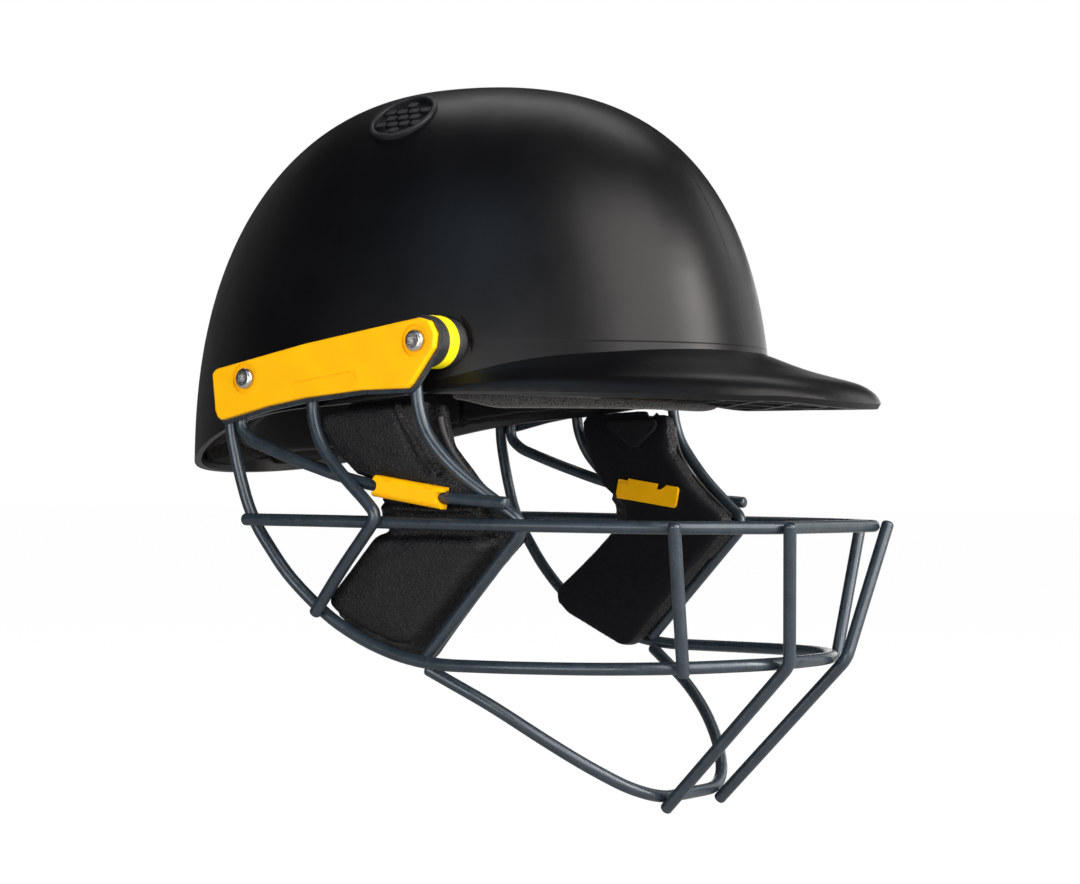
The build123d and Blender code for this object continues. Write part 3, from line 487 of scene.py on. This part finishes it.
def plump(piece, pressure, most, shrink):
    """Inflates a closed piece by cloth pressure, with each point held within a small distance."""
    rest = [vertex.co.copy() for vertex in piece.data.vertices]
    normals = [vertex.normal.copy() for vertex in piece.data.vertices]
    for vertex, normal in zip(piece.data.vertices, normals):
        vertex.co -= normal * shrink
    only(piece)
    cloth = piece.modifiers.new("air", "CLOTH")
    cloth.settings.quality = CLOTH_QUALITY
    cloth.settings.mass = CLOTH_MASS
    cloth.settings.tension_stiffness = CLOTH_STRETCH
    cloth.settings.compression_stiffness = CLOTH_STRETCH
    cloth.settings.bending_stiffness = CLOTH_BEND
    cloth.settings.use_pressure = True
    cloth.settings.uniform_pressure_force = pressure
    cloth.settings.effector_weights.gravity = 0
    cloth.collision_settings.use_collision = False
    scene = bpy.context.scene
    for number in range(1, CLOTH_FRAMES + 1):
        scene.frame_set(number)
    bpy.ops.object.modifier_apply(modifier=cloth.name)
    scene.frame_set(1)
    for vertex, start in zip(piece.data.vertices, rest):
        move = vertex.co - start
        if move.length > most:
            vertex.co = start + move * (most / move.length)


def subdivide(piece, levels):
    step = piece.modifiers.new("finer", "SUBSURF")
    step.levels = levels
    step.render_levels = levels
    apply_all(piece)


def shade_soft(piece):
    only(piece)
    bpy.ops.object.shade_smooth()


def pad_level(point):
    """How far a point of a pad lies outside its flat inner face, along X, on either side."""
    return abs(point.x) - (INNER_FACE * MM + INNER_FACE_LEAN_Y * point.y + INNER_FACE_LEAN_Z * point.z)


def path_gap(y, z, path):
    """Distance from a point to a path of corners, both in the pad's side view, in mm."""
    gaps = []
    for (y_start, z_start), (y_end, z_end) in zip(path, path[1:]):
        run, drop = y_end - y_start, z_end - z_start
        share = ((y - y_start) * run + (z - z_start) * drop) / (run * run + drop * drop)
        share = max(0.0, min(1.0, share))
        gaps.append(math.hypot(y - y_start - share * run, z - z_start - share * drop))
    return min(gaps)


def ease_step(value, low, high):
    share = max(0.0, min(1.0, (value - low) / (high - low)))
    return share * share * (3 - 2 * share)


def bell(gap, half_width):
    return math.exp(-((gap / half_width) ** 2))


def fold_skin(pad):
    """Draws the folds, the pulled rear edge, the raised corner and the inner dimple into a pad's skin."""
    dimple_y, dimple_z = DIMPLE_PLACE
    moves = []
    for vertex in pad.data.vertices:
        y, z = vertex.co.y / MM, vertex.co.z / MM
        level = pad_level(vertex.co) / MM
        move = Vector((0, 0, 0))
        if level > FOLD_LEVEL and abs(vertex.normal.x) > FOLD_FACING:
            lift = 0.0
            for path, height, half_width in SKIN_FOLDS.values():
                gap = path_gap(y, z, path)
                if gap < FOLD_REACH * half_width:
                    lift += height * bell(gap, half_width)
            move += vertex.normal * lift * MM
        if level > REAR_PULL_LEVEL[0]:
            band = ease_step(z, *REAR_PULL_BOTTOM) * (1 - ease_step(z, *REAR_PULL_TOP))
            pull = REAR_PULL * band * ease_step(y, *REAR_PULL_BEHIND) * ease_step(level, *REAR_PULL_LEVEL)
            move.y += pull * MM
        corner = ease_step(z, *CORNER_ABOVE) * ease_step(y, *CORNER_FRONT) * (1 - ease_step(y, *CORNER_REAR))
        move.z += CORNER_LIFT * corner * MM
        if level < DIMPLE_LEVEL:
            dent = DIMPLE_DEPTH * bell(math.hypot(y - dimple_y, z - dimple_z), DIMPLE_RADIUS)
            move.x += math.copysign(dent * MM, vertex.co.x)
        moves.append(move)
    for vertex, move in zip(pad.data.vertices, moves):
        vertex.co += move


def make_cheek_pad(side):
    """A swollen, folded pad with grained skin outside and felt on its inner face."""
    pad = copy_of(f"cheek_pad_{side}", f"soft_cheek_pad_{side}")
    remesh(pad, PAD_VOXEL)
    ease(pad, 1)
    plump(pad, PAD_PRESSURE, PAD_MOST_SWELL, PAD_SHRINK)
    subdivide(pad, 1)
    fold_skin(pad)
    dress(pad, finishes["pad_skin"], finishes["pad_felt"])
    for face in pad.data.polygons:
        face.material_index = 1 if pad_level(face.center) < FELT_DEPTH else 0
    shade_soft(pad)
    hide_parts(f"cheek_pad_{side}")
    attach(pad, f"{side}_cheek_pad")


def raise_headband(piece):
    """Points the band's ends upwards and lifts its far half, as it lies in the shell."""
    for vertex in piece.data.vertices:
        x, y, z = (value / MM for value in vertex.co)
        low = 1 - ease_step(z, *BAND_EDGE)
        tip = ease_step(y, *BAND_TIP)
        vertex.co.z += low * (BAND_TIP_LIFT * tip + BAND_FAR_LIFT * ease_step(x, *BAND_FAR_HALF)) * MM


def hollow_liner(piece):
    """Sinks the moulded hollows and channels into the liner's lower edge."""
    for vertex in piece.data.vertices:
        if vertex.normal.z > LINER_EDGE_FACING or vertex.co.z > LINER_EDGE_LEVEL * MM:
            continue
        x, y = vertex.co.x / MM, vertex.co.y / MM - LINER_MIDDLE
        reach = (abs(x) / LINER_HALF_WIDTH) ** LINER_ROUNDNESS
        reach += (abs(y) / LINER_HALF_LENGTH) ** LINER_ROUNDNESS
        around = math.sin(math.atan2(x, y) * HOLLOWS_AROUND + HOLLOWS_TURNED)
        middle = math.exp(-(((reach - HOLLOW_BAND_SHARE) / HOLLOW_BAND_WIDTH_SHARE) ** 4))
        vertex.co.z += HOLLOW_DEPTH * ease_step(around, *HOLLOW_RIM) * middle * MM


def make_soft_copy(node, name, finish, voxel, rounds, body=HELMET, shape=None):
    """A softened copy of a CAD node that takes its place."""
    piece = copy_of(node, name)
    remesh(piece, voxel)
    ease(piece, rounds)
    if shape:
        shape(piece)
    dress(piece, finishes[finish])
    shade_soft(piece)
    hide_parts(node)
    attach(piece, body)


def dress_cad_nodes():
    for node, piece in nodes.items():
        stem = node.replace("_left", "").replace("_right", "")
        if stem in FINISH_OF:
            for coat in piece.material_slots:
                coat.material = finishes[FINISH_OF[stem]]


def make_soft_pieces():
    for side in ("left", "right"):
        make_cheek_pad(side)
        make_soft_copy(f"side_comfort_pad_{side}", f"side_lining_{side}", "lining",
                       LINING_VOXEL, 4)
        make_soft_copy(f"pad_tab_{side}", f"stitched_tab_{side}", "tab_felt", TAB_VOXEL, 2,
                       body=f"{side}_cheek_pad")
    make_soft_copy("impact_liner", "foam_liner", "foam", LINER_VOXEL, 2,
                   shape=hollow_liner)
    make_soft_copy("front_headband", "terry_headband", "terry", BAND_VOXEL, 5,
                   shape=raise_headband)
    make_soft_copy("rear_comfort_pad", "rear_lining", "lining", LINING_VOXEL, 4)
    make_soft_copy("crown_comfort_pad", "crown_lining", "lining", LINING_VOXEL, 4)


finishes = {
    "shell": matt_shell(),
    "wire": coated_wire(),
    "amber": bright_plastic("amber_plastic", (0.98, 0.48, 0.001)),
    "lemon": bright_plastic("lemon_plastic", (0.92, 0.76, 0.010)),
    "rubber": black_rubber(),
    "grille": grey_moulding(),
    "steel": bright_steel(),
    "pad_skin": grained_foam(),
    "pad_felt": brushed_felt("dark_felt", (0.0028, 0.0030, 0.0045), (0.0062, 0.0066, 0.0088)),
    "tab_felt": brushed_felt("tab_felt", (0.0055, 0.0058, 0.0072), (0.012, 0.0125, 0.0148)),
    "foam": open_foam(),
    "terry": looped_terry(),
    "lining": brushed_felt("lining_cloth", (0.0035, 0.0035, 0.0042), (0.0085, 0.0085, 0.0095)),
}
add_studio(*add_camera())
dress_cad_nodes()
make_soft_pieces()
